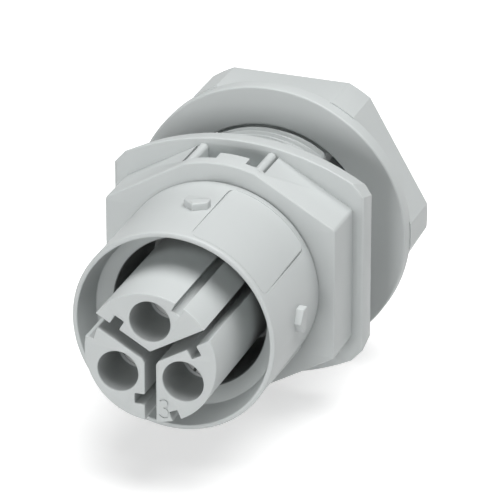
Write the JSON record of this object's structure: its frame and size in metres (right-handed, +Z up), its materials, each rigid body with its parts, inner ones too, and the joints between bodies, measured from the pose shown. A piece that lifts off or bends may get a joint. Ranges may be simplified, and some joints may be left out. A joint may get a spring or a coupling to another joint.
{
  "type": "bulkhead power connector",
  "caption": "Panel feed-through power socket: round shroud with locking lugs, hexagonal body and plate, threaded neck with locknut, and a chambered insert with screw terminals.",
  "frame": {"origin": "the connector's axis where it crosses the plane of the plate's rear face, which is the panel's front surface", "axes": "-Y towards the mating side, +Y through the panel towards the wires, +Z up with the pocketed corner of the hexagon, +X to the right as seen from the mating side"},
  "size_m": [0.0452, 0.0743, 0.0448],
  "materials": {
    "housing_plastic": "moulded, satin light grey",
    "nut_plastic": "moulded, satin light grey",
    "carrier_plastic": "moulded, satin light grey",
    "cover_plastic": "moulded, satin light grey",
    "retainer_plastic": "moulded, satin grey",
    "gasket_rubber": "matt black",
    "seal_rubber": "matt black",
    "contact_metal": "silver plated copper alloy",
    "spring_steel": "bright rolled spring steel",
    "plate_steel": "zinc plated",
    "screw_steel": "zinc plated"
  },
  "bodies": {
    "connector": {"housing": "housing_plastic", "panel_gasket": "gasket_rubber", "contact_carrier": "carrier_plastic", "carrier_seal": "seal_rubber", "insert_retainer": "retainer_plastic", "terminal_cover": "cover_plastic", "cover_screw": "screw_steel", "socket_contact_1": "contact_metal", "spring_sleeve_1": "spring_steel", "socket_contact_2": "contact_metal", "spring_sleeve_2": "spring_steel", "socket_contact_3": "contact_metal", "spring_sleeve_3": "spring_steel"},
    "nut": {"locknut": "nut_plastic"},
    "plate_1": {"clamp_plate_1": "plate_steel"},
    "screw_1": {"clamp_screw_1": "screw_steel"},
    "plate_2": {"clamp_plate_2": "plate_steel"},
    "screw_2": {"clamp_screw_2": "screw_steel"},
    "plate_3": {"clamp_plate_3": "plate_steel"},
    "screw_3": {"clamp_screw_3": "screw_steel"}
  },
  "joints": [
    {"name": "nut_turn", "type": "hinge", "parent": "connector", "child": "nut", "pos_m": [0, 0.0154, 0], "axis": [0, 1, 0], "continuous": true},
    {"name": "clamp_slide_1", "type": "slide", "parent": "connector", "child": "plate_1", "axis": [0, 0, -1], "range_m": [0, 0.0022]},
    {"name": "clamp_turn_1", "type": "hinge", "parent": "plate_1", "child": "screw_1", "pos_m": [0, 0.02655, 0.0096], "axis": [0, 0, -1], "range_deg": [0, 1590]},
    {"name": "clamp_slide_2", "type": "slide", "parent": "connector", "child": "plate_2", "axis": [0.866, 0, 0.5], "range_m": [0, 0.0022]},
    {"name": "clamp_turn_2", "type": "hinge", "parent": "plate_2", "child": "screw_2", "pos_m": [-0.00831, 0.02655, -0.0048], "axis": [0.866, 0, 0.5], "range_deg": [0, 1590]},
    {"name": "clamp_slide_3", "type": "slide", "parent": "connector", "child": "plate_3", "axis": [-0.866, 0, 0.5], "range_m": [0, 0.0022]},
    {"name": "clamp_turn_3", "type": "hinge", "parent": "plate_3", "child": "screw_3", "pos_m": [0.00831, 0.02655, -0.0048], "axis": [-0.866, 0, 0.5], "range_deg": [0, 1590]}
  ],
  "couplings": [
    {"joint": "clamp_turn_1", "follows": "clamp_slide_1", "rad_per_m": 12566},
    {"joint": "clamp_turn_2", "follows": "clamp_slide_2", "rad_per_m": 12566},
    {"joint": "clamp_turn_3", "follows": "clamp_slide_3", "rad_per_m": 12566}
  ]
}
